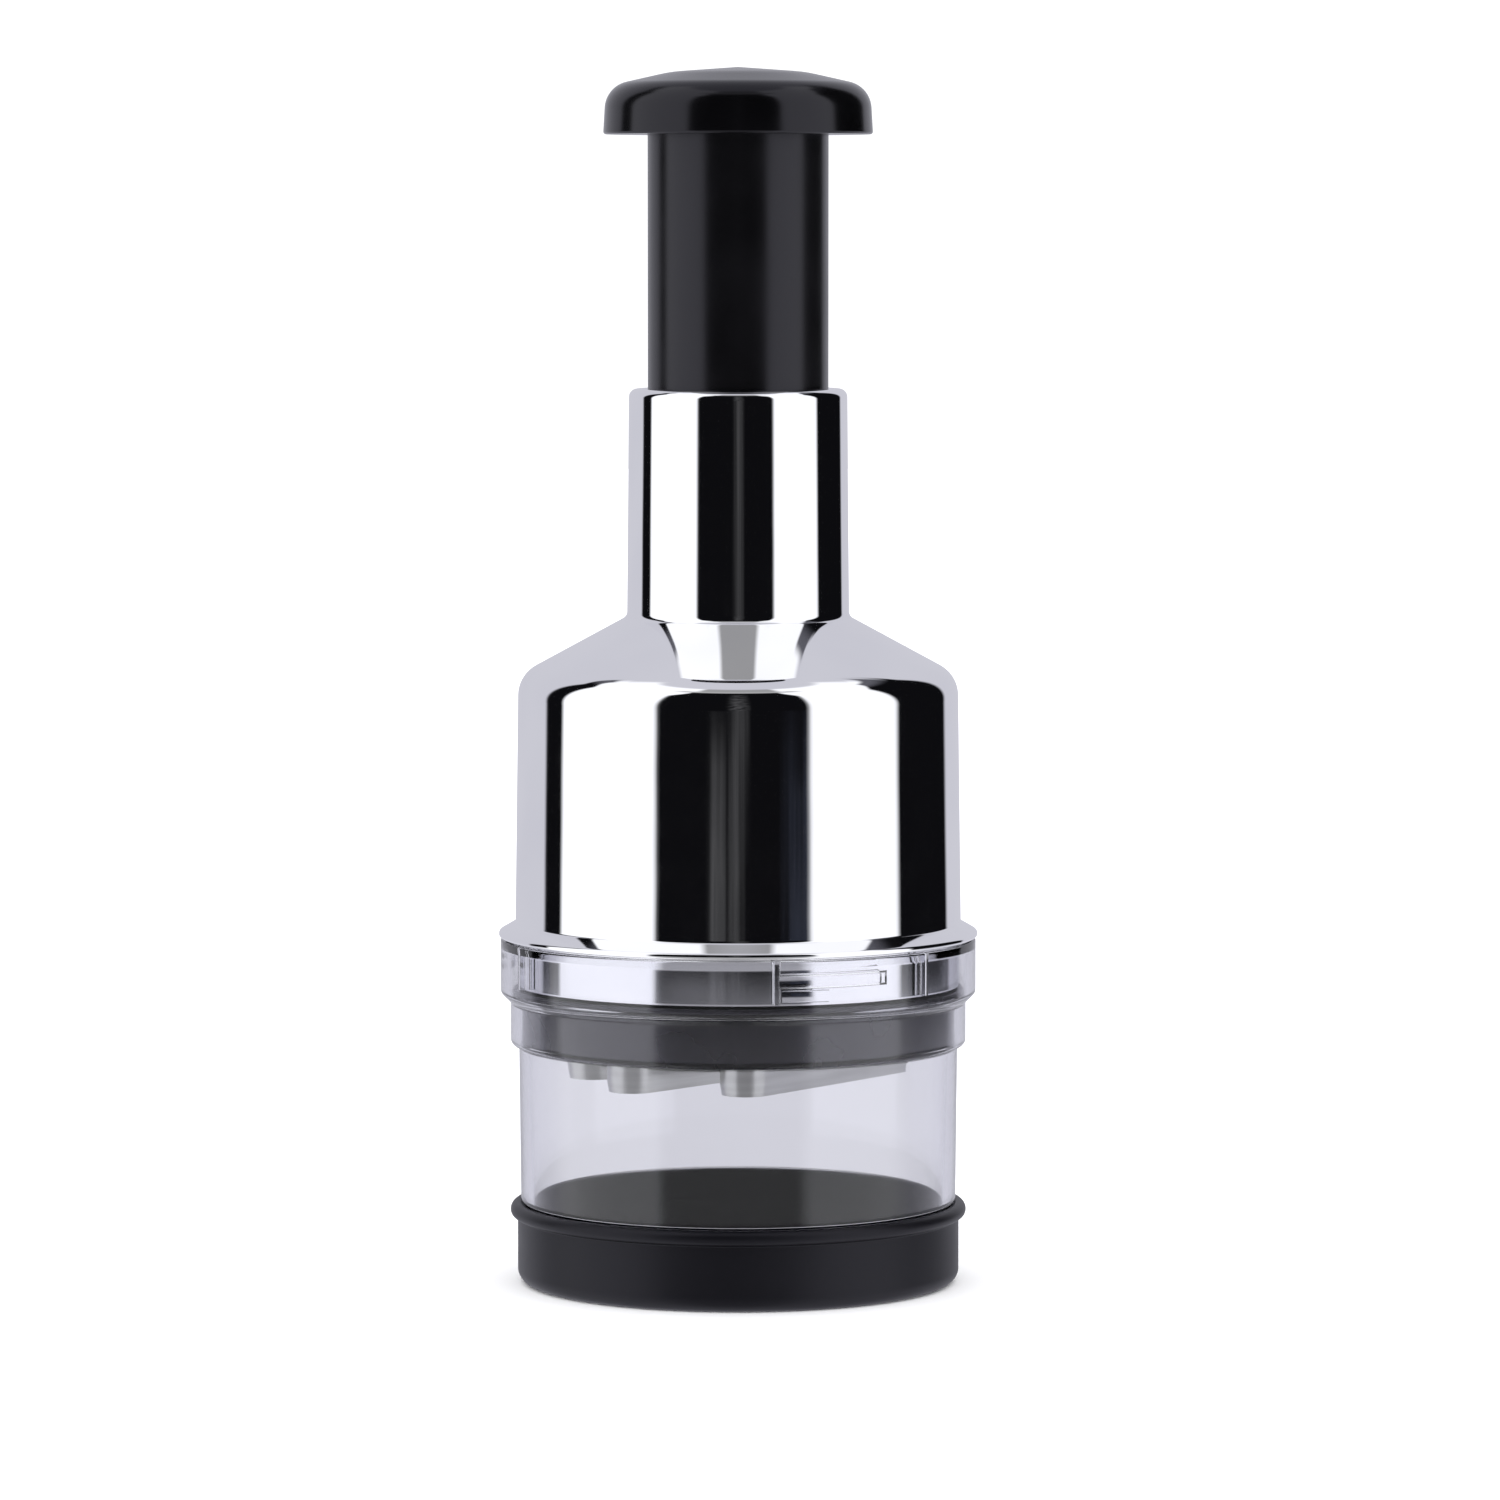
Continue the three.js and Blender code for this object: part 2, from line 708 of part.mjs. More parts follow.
function blade_carrier() {
  const recess_top = carrier_bottom + shaft_screw_recess;
  const recess_radius = shaft_screw_head_radius + fit_gap;
  let solid = turned([
    [shaft_screw_radius + fit_gap, carrier_top],
    [shaft_screw_radius + fit_gap, recess_top],
    [recess_radius, recess_top],
    [recess_radius, carrier_bottom],
    [carrier_radius, carrier_bottom],
    [carrier_radius, carrier_top],
  ]);
  for (const slot of blade_tabs(fit_gap, carrier_bottom - overrun, carrier_top + overrun)) {
    solid = solid.subtract(slot.rotate([0, 0, blade_turned_deg]));
  }
  for (const [x, y] of screw_places(carrier_screw_circle)) {
    const bottom = carrier_bottom + screw_floor;
    solid = solid.subtract(rod(screw_radius + fit_gap, bottom, carrier_top + overrun, x, y));
  }
  piece("blade_carrier", solid, materials.black_satin);
}

function wiper_disc() {
  const cup = turned([
    [0, wiper_bottom],
    [wiper_radius, wiper_bottom],
    [wiper_radius, wiper_lip_bottom],
    [lug_radius, wiper_lip_bottom],
    [lug_radius, wiper_lip_top],
    [wiper_radius - wiper_wall, wiper_lip_top],
    [wiper_radius - wiper_wall, wiper_floor_top],
    [0, wiper_floor_top],
  ]);
  const slot_outline = blade_outline(blade_thickness + 2 * wiper_slot_clearance);
  const slot = lofted([
    [slot_outline, wiper_bottom - overrun],
    [slot_outline, wiper_floor_top + overrun],
  ]);
  piece("wiper_disc", cup.subtract(slot.rotate([0, 0, blade_turned_deg])), materials.grey_plastic);
}

function blade_shaft() {
  const bore_radius = shaft_screw_radius + fit_gap;
  const solid = turned(
    [
      [0, shaft_top],
      [journal_radius, shaft_top, screw_head_fillet],
      [journal_radius, clip_top + fit_gap],
      [shaft_groove_radius, clip_top + fit_gap],
      [shaft_groove_radius, clip_bottom - fit_gap],
      [journal_radius, clip_bottom - fit_gap],
      [journal_radius, journal_z],
      [shaft_radius, journal_z],
      [shaft_radius, shaft_bottom],
      [bore_radius, shaft_bottom],
      [bore_radius, shaft_bottom + shaft_bore_depth],
      [0, shaft_bottom + shaft_bore_depth],
    ],
    shaft_facets,
  );
  piece("blade_shaft", solid, materials.steel);
}

function shaft_fittings() {
  const washer_bore = journal_radius + fit_gap;
  const thrust = ring(washer_bore, thrust_washer_radius, journal_z, journal_z + washer_height, shaft_facets);
  piece("thrust_washer", thrust, materials.steel);
  const clip_bore = shaft_groove_radius + fit_gap;
  const mouth_from = full_turn_deg - clip_mouth_deg / 2;
  const clip = ring_part(clip_bore, clip_radius, clip_mouth_deg / 2, mouth_from, clip_bottom, clip_top);
  piece("shaft_clip", clip, materials.steel);
  const hub = ring(journal_radius + fit_gap, hub_radius, hub_bottom, hub_top);
  piece("shaft_hub", hub, materials.white_plastic);
  const seat = ring(shaft_radius + fit_gap, column_radius, column_top, column_top + washer_height);
  piece("spring_washer", seat, materials.steel);
}

function screws() {
  const carrier_length = rotor_flange_height + carrier_height - screw_floor - fit_gap;
  for (const [i, [x, y]] of screw_places(carrier_screw_circle).entries()) {
    const solid = screw(screw_radius, screw_head_radius, screw_head_height, carrier_length);
    piece(`carrier_screw_${i + 1}`, solid, materials.steel).position.set(x, y, rotor_flange_top);
  }
  const crown_length = frame_plate_height + crown_flange_height;
  for (const [i, [x, y]] of screw_places(crown_screw_circle).entries()) {
    const solid = screw(screw_radius, screw_head_radius, screw_head_height, crown_length);
    piece(`crown_screw_${i + 1}`, solid, materials.steel).position.set(x, y, plate_top);
  }
  const seat_z = carrier_bottom + shaft_screw_recess - fit_gap;
  const length = shaft_bottom + shaft_bore_depth - fit_gap - seat_z;
  const solid = screw(shaft_screw_radius, shaft_screw_head_radius, shaft_screw_head_height, length);
  const shaft_screw = piece("shaft_screw", solid, materials.steel);
  shaft_screw.position.set(0, 0, seat_z);
  shaft_screw.rotation.x = Math.PI;
}

function plunger_tube() {
  const solid = ring(tube_inner_radius, tube_radius, tube_bottom, tube_top, outer_facets);
  piece("plunger_tube", solid, materials.black_gloss);
}

function push_knob() {
  const solid = turned(
    [
      [0, knob_top],
      [knob_radius / 2, knob_top - knob_dome_rise / 4, knob_radius],
      [knob_radius - knob_draft, knob_side_top, knob_edge_fillet],
      [knob_radius, knob_bottom],
      [tube_radius + fit_gap, knob_bottom],
      [tube_radius + fit_gap, tube_top + fit_gap],
      [hub_radius, tube_top + fit_gap],
      [hub_radius, hub_top],
      [knob_cavity_radius, hub_top],
      [knob_cavity_radius, knob_top - knob_top_wall],
      [0, knob_top - knob_top_wall],
    ],
    outer_facets,
  );
  piece("push_knob", solid, materials.black_gloss);
}

// The height of the spring's centre line after a number of curls: close at the ends, open between.
function spring_height(curls) {
  const rise = spring_top - spring_bottom - 2 * wire_radius;
  const open_pitch = (rise - 2 * spring_end_pitch) / (spring_curls - 2);
  const lower = Math.min(curls, 1) * spring_end_pitch;
  const middle = Math.min(Math.max(curls - 1, 0), spring_curls - 2) * open_pitch;
  const upper = Math.max(curls - spring_curls + 1, 0) * spring_end_pitch;
  return spring_bottom + wire_radius + lower + middle + upper;
}

function return_spring() {
  const steps = spring_curls * spring_curl_steps;
  const centres = [];
  const places = [];
  const faces = [];
  for (let i = 0; i <= steps; i += 1) {
    const angle = (i * 2 * Math.PI) / spring_curl_steps;
    const height = spring_height(i / spring_curl_steps);
    const out = new THREE.Vector3(Math.cos(angle), Math.sin(angle), 0);
    const centre = out.clone().multiplyScalar(spring_radius).setZ(height);
    centres.push(centre);
    for (let side = 0; side < wire_sides; side += 1) {
      const around = (side * 2 * Math.PI) / wire_sides;
      const point = centre.clone().addScaledVector(out, wire_radius * Math.cos(around));
      point.z += wire_radius * Math.sin(around);
      places.push(point.x, point.y, point.z);
    }
  }
  for (let i = 0; i < steps; i += 1) {
    for (let side = 0; side < wire_sides; side += 1) {
      const next = (side + 1) % wire_sides;
      const [a, b] = [i * wire_sides + side, i * wire_sides + next];
      faces.push(a, b + wire_sides, b, a, a + wire_sides, b + wire_sides);
    }
  }
  const last = steps * wire_sides;
  for (let side = 1; side < wire_sides - 1; side += 1) {
    faces.push(0, side, side + 1, last, last + side + 1, last + side);
  }
  const geometry = new THREE.BufferGeometry();
  geometry.setAttribute("position", new THREE.Float32BufferAttribute(places, 3));
  geometry.setIndex(faces);
  piece("return_spring", solid_of(geometry), materials.steel);
  let least = Infinity;
  for (const [i, from] of centres.entries()) {
    for (const to of centres.slice(i + spring_curl_steps / 2)) least = Math.min(least, from.distanceTo(to));
  }
  console.log(`least gap of the spring to itself: ${(least - 2 * wire_radius).toFixed(2)} mm`);
}

base_cap();
chopping_chamber();
housing_shell();
neck_bush();
inner_frame();
crown_ring();
index_rotor();
blade_carrier();
chopping_blade();
wiper_disc();
blade_shaft();
shaft_fittings();
screws();
plunger_tube();
push_knob();
return_spring();

export default group;
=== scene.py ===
import math

import bmesh
import bpy
from mathutils import Matrix, Vector


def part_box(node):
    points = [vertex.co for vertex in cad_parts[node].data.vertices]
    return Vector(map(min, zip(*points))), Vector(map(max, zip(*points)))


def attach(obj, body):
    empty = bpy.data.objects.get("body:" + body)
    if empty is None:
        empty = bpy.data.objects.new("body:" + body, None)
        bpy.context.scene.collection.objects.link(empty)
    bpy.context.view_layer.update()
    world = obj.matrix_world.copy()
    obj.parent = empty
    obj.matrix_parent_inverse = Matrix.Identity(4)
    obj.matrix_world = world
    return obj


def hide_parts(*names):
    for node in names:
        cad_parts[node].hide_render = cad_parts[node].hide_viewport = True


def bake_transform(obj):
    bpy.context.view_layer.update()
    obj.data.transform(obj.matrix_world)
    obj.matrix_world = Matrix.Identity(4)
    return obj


MM = 0.001

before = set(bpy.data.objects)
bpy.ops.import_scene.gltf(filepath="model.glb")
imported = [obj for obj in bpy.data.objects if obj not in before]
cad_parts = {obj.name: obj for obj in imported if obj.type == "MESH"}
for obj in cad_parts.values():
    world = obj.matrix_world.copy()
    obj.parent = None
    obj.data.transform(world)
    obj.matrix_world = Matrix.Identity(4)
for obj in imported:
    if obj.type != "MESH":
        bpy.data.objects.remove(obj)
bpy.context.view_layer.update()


# Sizes of the frame's nodes, in millimetres

def reach(node):
    """The radius of a turned node."""
    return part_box(node)[1].x / MM


def low(node):
    """The height of a node's lowest point."""
    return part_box(node)[0].z / MM


def high(node):
    """The height of a node's highest point."""
    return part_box(node)[1].z / MM


# Materials

# Most of a noise's values lie between these
NOISE_LOW = 0.22
NOISE_HIGH = 0.78


def node_material(name):
    """A new material with its nodes and its main shader."""
    material = bpy.data.materials.new(name)
    material.use_nodes = True
    tree = material.node_tree
    return material, tree, tree.nodes["Principled BSDF"]


def noise(tree, scale, detail, stretch=None, coordinates="Object"):
    """Noise with about as many waves in a metre as its scale, stretched along an axis if asked."""
    place = tree.nodes.new("ShaderNodeTexCoord").outputs[coordinates]
    if stretch:
        mapping = tree.nodes.new("ShaderNodeMapping")
        mapping.inputs["Scale"].default_value = stretch
        tree.links.new(place, mapping.inputs["Vector"])
        place = mapping.outputs["Vector"]
    texture = tree.nodes.new("ShaderNodeTexNoise")
    texture.inputs["Scale"].default_value = scale
    texture.inputs["Detail"].default_value = detail
    tree.links.new(place, texture.inputs["Vector"])
    return texture.outputs["Fac"]


def spread(tree, value, lowest, highest, start=NOISE_LOW, end=NOISE_HIGH, interpolation="SMOOTHSTEP"):
    """A number that goes from lowest to highest as the value goes from start to end."""
    mapped = tree.nodes.new("ShaderNodeMapRange")
    mapped.interpolation_type = interpolation
    mapped.inputs["From Min"].default_value = start
    mapped.inputs["From Max"].default_value = end
    mapped.inputs["To Min"].default_value = lowest
    mapped.inputs["To Max"].default_value = highest
    tree.links.new(value, mapped.inputs["Value"])
    return mapped.outputs["Result"]


def two_tone(tree, value, dark, light):
    """A colour that goes from dark to light with the noise."""
    ramp = tree.nodes.new("ShaderNodeValToRGB")
    ramp.color_ramp.interpolation = "EASE"
    for mark, position, tone in zip(ramp.color_ramp.elements, (NOISE_LOW, NOISE_HIGH), (dark, light)):
        mark.position = position
        mark.color = (*tone, 1)
    tree.links.new(value, ramp.inputs["Fac"])
    return ramp.outputs["Color"]


def relief(tree, *layers):
    """Layers of relief given as (height, depth in mm), each on top of the last."""
    last = None
    for height, depth in layers:
        bump = tree.nodes.new("ShaderNodeBump")
        bump.inputs["Distance"].default_value = depth * MM
        tree.links.new(height, bump.inputs["Height"])
        if last:
            tree.links.new(last, bump.inputs["Normal"])
        last = bump.outputs["Normal"]
    return last


def dressed(tree, shader, colour, roughness, normal):
    """Give the shader a colour, a roughness and a relief."""
    for socket, value in (("Base Color", colour), ("Roughness", roughness), ("Normal", normal)):
        tree.links.new(value, shader.inputs[socket])


def chrome():
    """Metallised plastic: a mirror with faint waves from the moulding."""
    wave_depth = 0.035
    material, tree, shader = node_material("chrome")
    shader.inputs["Metallic"].default_value = 1.0
    waves = noise(tree, scale=55, detail=1.0)
    handling = noise(tree, scale=160, detail=4.0)
    colour = two_tone(tree, waves, dark=(0.93, 0.93, 0.945), light=(0.97, 0.97, 0.975))
    roughness = spread(tree, handling, lowest=0.025, highest=0.05)
    dressed(tree, shader, colour, roughness, relief(tree, (waves, wave_depth)))
    return material


def clear_plastic():
    """Clear moulded plastic with a faint tint and slow waves."""
    wave_depth = 0.012
    material, tree, shader = node_material("clear")
    shader.inputs["Transmission Weight"].default_value = 1.0
    shader.inputs["IOR"].default_value = 1.49
    shader.inputs["Specular IOR Level"].default_value = 0.45
    waves = noise(tree, scale=40, detail=1.0)
    cloud = noise(tree, scale=120, detail=3.0)
    colour = two_tone(tree, waves, dark=(0.92, 0.92, 0.955), light=(0.94, 0.94, 0.975))
    roughness = spread(tree, cloud, lowest=0.022, highest=0.045)
    dressed(tree, shader, colour, roughness, relief(tree, (waves, wave_depth)))
    return material


def gloss(name, dark, light, smooth, rough, grain_depth, specular):
    """Moulded plastic with a gloss that varies a little and a fine skin."""
    wave_depth = 0.03
    material, tree, shader = node_material(name)
    shader.inputs["Specular IOR Level"].default_value = specular
    shader.inputs["Specular Tint"].default_value = (0.9, 0.88, 1.0, 1)
    cloud = noise(tree, scale=70, detail=3.0)
    grain = noise(tree, scale=2600, detail=2.0)
    waves = noise(tree, scale=45, detail=1.0)
    skin = relief(tree, (waves, wave_depth), (grain, grain_depth))
    dressed(tree, shader, two_tone(tree, cloud, dark, light), spread(tree, cloud, smooth, rough), skin)
    return material


def brushed(name, dark, light, smooth, rough, stretch):
    """Metal with brush lines along one way."""
    line_depth = 0.004
    material, tree, shader = node_material(name)
    shader.inputs["Metallic"].default_value = 1.0
    lines = noise(tree, scale=900, detail=4.0, stretch=stretch)
    cloud = noise(tree, scale=60, detail=2.0)
    skin = relief(tree, (lines, line_depth))
    dressed(tree, shader, two_tone(tree, lines, dark, light), spread(tree, cloud, smooth, rough), skin)
    return material


# Dark and light tone, least and most roughness, depth of the grain in mm, and specular level
PLASTICS = {
    "knob_black": ((0.0010, 0.0010, 0.0012), (0.0018, 0.0018, 0.0022), 0.15, 0.2, 0.0015, 0.43),
    "tube_black": ((0.0008, 0.0008, 0.001), (0.0016, 0.0016, 0.002), 0.22, 0.27, 0.003, 0.5),
    "cap_black": ((0.0018, 0.0018, 0.0034), (0.0028, 0.0028, 0.0046), 0.36, 0.44, 0.004, 0.32),
    "inner_black": ((0.02, 0.02, 0.022), (0.028, 0.028, 0.03), 0.4, 0.5, 0.01, 0.5),
    "wiper_grey": ((0.023, 0.0225, 0.026), (0.027, 0.0265, 0.030), 0.25, 0.33, 0.006, 1.0),
    "crown_grey": ((0.07, 0.07, 0.075), (0.09, 0.09, 0.095), 0.35, 0.45, 0.01, 0.5),
    "white_plastic": ((0.5, 0.5, 0.48), (0.56, 0.56, 0.54), 0.35, 0.45, 0.01, 0.5),
}
# Dark and light tone, least and most roughness, and how much the brush lines are drawn out
METALS = {
    "blade_steel": ((0.57, 0.57, 0.545), (0.68, 0.68, 0.65), 0.30, 0.38, (0.04, 0.04, 1.0)),
    "turned_steel": ((0.5, 0.5, 0.51), (0.64, 0.64, 0.65), 0.22, 0.32, (1.0, 1.0, 0.05)),
}
materials = {"chrome": chrome(), "clear": clear_plastic()}
materials.update({name: gloss(name, *row) for name, row in PLASTICS.items()})
materials.update({name: brushed(name, *row) for name, row in METALS.items()})


# Shapes

SEGMENTS = 192
ARC_STEP = math.radians(7)
FEWEST_ARC_STEPS = 3
RING_STEPS = 24
BEND_STEPS = 20
ON_AXIS = 1e-6
SHARP_ANGLE = math.radians(32)
SQUARE = ((-1, -1), (1, -1), (1, 1), (-1, 1))
# A run of an outline that is longer than this gets more points, near its ends and at even steps
LONG_RUN = 0.9
FROM_RUN_END = 0.25
RUN_STEP = 6


def rounded(corners):
    """An outline of corners (radius, height, fillet) with each fillet drawn as an arc."""
    points = []
    for i, corner in enumerate(corners):
        here = Vector(corner[:2])
        fillet = corner[2] if len(corner) > 2 else 0
        if not fillet:
            points.append(here)
            continue
        before = (Vector(corners[i - 1][:2]) - here).normalized()
        after = (Vector(corners[(i + 1) % len(corners)][:2]) - here).normalized()
        half = before.angle(after) / 2
        centre = here + (before + after).normalized() * fillet / math.sin(half)
        start = here + before * fillet / math.tan(half) - centre
        end = here + after * fillet / math.tan(half) - centre
        sweep = math.atan2(start.x * end.y - start.y * end.x, start.dot(end))
        steps = max(FEWEST_ARC_STEPS, math.ceil(abs(sweep) / ARC_STEP))
        for step in range(steps + 1):
            turn = sweep * step / steps
            x = start.x * math.cos(turn) - start.y * math.sin(turn)
            y = start.x * math.sin(turn) + start.y * math.cos(turn)
            points.append(centre + Vector((x, y)))
    return points


def with_support(points, closed):
    """The outline with more points on its long runs, so that shading stays even."""
    dense = []
    count = len(points)
    for i, here in enumerate(points):
        dense.append(here)
        if i == count - 1 and not closed:
            break
        ahead = points[(i + 1) % count]
        length = (ahead - here).length
        if length > LONG_RUN:
            parts = int(length // RUN_STEP) + 1
            close = FROM_RUN_END / length
            shares = [close, *(k / parts for k in range(1, parts)), 1 - close]
            dense.extend(here.lerp(ahead, share) for share in shares)
    return dense


def clean_mesh(name, verts, faces):
    """A mesh in metres from points in millimetres, its faces turned outwards."""
    data = bpy.data.meshes.new(name)
    data.from_pydata([Vector(v) * MM for v in verts], [], faces)
    made = bmesh.new()
    made.from_mesh(data)
    bmesh.ops.recalc_face_normals(made, faces=made.faces)
    made.to_mesh(data)
    made.free()
    return data


def turned(name, corners):
    """A closed turned mesh from the corners of its half section."""
    points = rounded(corners)
    closed = not any(p.x < ON_AXIS for p in points)
    while not closed and not (points[0].x < ON_AXIS and points[-1].x < ON_AXIS):
        points.append(points.pop(0))
    verts = []
    rings = []
    for p in with_support(points, closed):
        first = len(verts)
        if p.x < ON_AXIS:
            rings.append([first] * SEGMENTS)
            verts.append((0, 0, p.y))
            continue
        rings.append(range(first, first + SEGMENTS))
        for k in range(SEGMENTS):
            angle = 2 * math.pi * k / SEGMENTS
            verts.append((p.x * math.cos(angle), p.x * math.sin(angle), p.y))
    pairs = list(zip(rings, rings[1:]))
    if closed:
        pairs.append((rings[-1], rings[0]))
    faces = []
    for lower, upper in pairs:
        for k in range(SEGMENTS):
            n = (k + 1) % SEGMENTS
            face = list(dict.fromkeys((lower[k], lower[n], upper[n], upper[k])))
            if len(face) > 2:
                faces.append(face)
    return clean_mesh(name, verts, faces)


def around(radius, degrees):
    """A point on a circle, in degrees from the front, counted towards the right-hand side."""
    angle = math.radians(degrees) - math.pi / 2
    return radius * math.cos(angle), radius * math.sin(angle)


def joined_loops(name, loops):
    """A closed mesh through loops that all have the same number of points."""
    count = len(loops[0])
    verts = [point for loop in loops for point in loop]
    last = len(verts) - count
    faces = [tuple(range(count)), tuple(range(last, len(verts)))]
    for under in range(0, last, count):
        over = under + count
        for i in range(count):
            j = (i + 1) % count
            faces.append((under + i, over + i, over + j, under + j))
    return clean_mesh(name, verts, faces)


def ring_part(name, corners, from_deg, to_deg):
    """Part of a ring from the corners of its section."""
    loops = []
    for k in range(RING_STEPS + 1):
        turn = from_deg + (to_deg - from_deg) * k / RING_STEPS
        loops.append([(*around(p.x, turn), p.y) for p in rounded(corners)])
    return joined_loops(name, loops)


def combined(data, others, operation):
    """The mesh after others are joined to it or cut from it."""
    base = bpy.data.objects.new("base", data)
    bpy.context.scene.collection.objects.link(base)
    tools = []
    for other in others:
        tool = bpy.data.objects.new("tool", other)
        bpy.context.scene.collection.objects.link(tool)
        modifier = base.modifiers.new("combine", "BOOLEAN")
        modifier.operation = operation
        modifier.solver = "EXACT"
        modifier.object = tool
        tools.append(tool)
    graph = bpy.context.evaluated_depsgraph_get()
    result = bpy.data.meshes.new_from_object(base.evaluated_get(graph))
    for made in [base, *tools]:
        bpy.data.objects.remove(made)
    return result


def coated(data, material):
    """The mesh with smooth shading and one material."""
    data.materials.clear()
    data.materials.append(materials[material])
    for face in data.polygons:
        face.use_smooth = True
    return data


def shown(name, data, material, body, node):
    """A finished piece that stands for a node and moves with a body."""
    coated(data, material)
    data.set_sharp_from_angle(angle=SHARP_ANGLE)
    piece = bpy.data.objects.new(name, data)
    bpy.context.scene.collection.objects.link(piece)
    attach(piece, body)
    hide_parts(node)


# Clearances, walls and edges that several pieces share
GAP = 0.3
CLEAR_WALL = 1.8
SHELL_WALL = 1.0
EDGE = 0.3
SOFT_EDGE = 0.5

# Ledges of the chamber, set by the wiper that rests on them, and the housing's skirt in the collar
LEDGE_RISE = 0.4
WIPER_LIP = 0.8
STEP_Z = low("wiper_disc") - GAP - LEDGE_RISE
COLLAR_LEDGE = high("wiper_disc") - WIPER_LIP - GAP
COLLAR_INNER = reach("chopping_chamber") - CLEAR_WALL
LUG_OUT = 1.0
SKIRT = COLLAR_INNER - GAP - LUG_OUT
SKIRT_BOTTOM = low("housing_shell")

# Bayonet: lugs on the skirt and tracks in the collar, with their angles in degrees
LUG_BOTTOM = SKIRT_BOTTOM + 0.8
LUG_TOP = LUG_BOTTOM + 2.2
LUG_START = 2
LUG_SWEEP = 12
TRACK_COUNT = 3
TRACK_START = 8.7
TRACK_SWEEP = 44.5
TRACK_STOP = 1.5
TRACK_TURNS = [TRACK_START + 360 * i / TRACK_COUNT for i in range(TRACK_COUNT)]


# Base cap: a cup with a rounded bead round its mouth and a shallow hollow under its floor

def base_cap():
    lip = reach("base_cap")
    top = high("base_cap")
    lip_out = 1.3
    lip_height = 2.7
    lip_under = 1.2
    lip_over = 1.4
    wall = 1.0
    cap_floor = 1.8
    foot_width = 8.5
    foot_fillet = 2.5
    recess = 0.6
    side = lip - lip_out
    inner = side - wall
    foot = side - foot_width
    lip_bottom = top - lip_height
    outline = [
        (0, recess),
        (foot - recess, recess, EDGE),
        (foot, 0, EDGE),
        (side, 0, foot_fillet),
        (side, lip_bottom, EDGE),
        (lip, lip_bottom, lip_under),
        (lip, top, lip_over),
        (inner, top, SOFT_EDGE),
        (inner, cap_floor, SOFT_EDGE),
        (0, cap_floor),
    ]
    shown(
        "base_cap_fine", turned("base_cap", outline),
        material="cap_black", body="base", node="base_cap",
    )


# Clear chamber: lower wall, step that holds the wiper, and collar with its three bayonet tracks

def track(start, inner, outer, top):
    """The two stops of a track, rounded on their inner side, and the ledge between them."""
    ledge_height = 2.5
    ledge_edge = 0.8
    inset = 0.1
    end = start + TRACK_SWEEP
    parts = []
    for from_deg, to_deg in ((start, start + TRACK_STOP), (end - TRACK_STOP, end)):
        plan = rounded([
            (*around(inner, from_deg), EDGE),
            (*around(inner, to_deg), EDGE),
            around(outer, to_deg),
            around(outer, from_deg),
        ])
        loops = [[(p.x, p.y, z) for p in plan] for z in (LUG_BOTTOM - GAP, top - GAP)]
        parts.append(joined_loops("stop", loops))
    ledge_bottom = LUG_TOP + GAP
    ledge_top = ledge_bottom + ledge_height
    section = [
        (inner + inset, ledge_bottom, ledge_edge),
        (outer - inset, ledge_bottom),
        (outer - inset, ledge_top),
        (inner + inset, ledge_top, ledge_edge),
    ]
    ledge_end = end - LUG_SWEEP - LUG_START - SOFT_EDGE
    parts.append(ring_part("ledge", section, start + TRACK_STOP / 2, ledge_end))
    return parts


def chamber():
    collar = reach("chopping_chamber")
    top = high("chopping_chamber")
    bottom = low("chopping_chamber")
    collar_out = 1.8
    collar_slope = 1.8
    collar_fillet = 0.9
    lead_in = 0.6
    lead_in_height = 1.7
    step_out = 1.5
    step_fillet = 1.0
    wall_taper = 0.3
    spigot_step = 0.7
    step = collar - collar_out
    wall_top = step - step_out
    wall_bottom = wall_top - wall_taper
    spigot = wall_bottom - spigot_step
    spigot_top = high("base_cap") + GAP
    seat = STEP_Z + LEDGE_RISE
    outline = [
        (spigot, bottom, EDGE),
        (spigot, spigot_top),
        (wall_bottom, spigot_top, EDGE / 2),
        (wall_top, STEP_Z, SOFT_EDGE),
        (step, STEP_Z, step_fillet),
        (step, COLLAR_LEDGE - collar_slope, SOFT_EDGE),
        (collar, COLLAR_LEDGE, collar_fillet),
        (collar, top, SOFT_EDGE),
        (COLLAR_INNER + lead_in, top, EDGE / 2),
        (COLLAR_INNER, top - lead_in_height, EDGE),
        (COLLAR_INNER, COLLAR_LEDGE, EDGE),
        (step - CLEAR_WALL, COLLAR_LEDGE, EDGE),
        (step - CLEAR_WALL, seat, EDGE),
        (wall_top - CLEAR_WALL, seat, SOFT_EDGE),
        (spigot - CLEAR_WALL, bottom, EDGE),
    ]
    inner = SKIRT + GAP
    outer = (COLLAR_INNER + collar) / 2
    tracks = [part for start in TRACK_TURNS for part in track(start, inner, outer, top)]
    shown(
        "chamber_fine", combined(turned("chamber", outline), tracks, "UNION"),
        material="clear", body="chamber", node="chopping_chamber",
    )


# Chrome housing: neck, cone, body, flared flange and the skirt with the bayonet's lugs

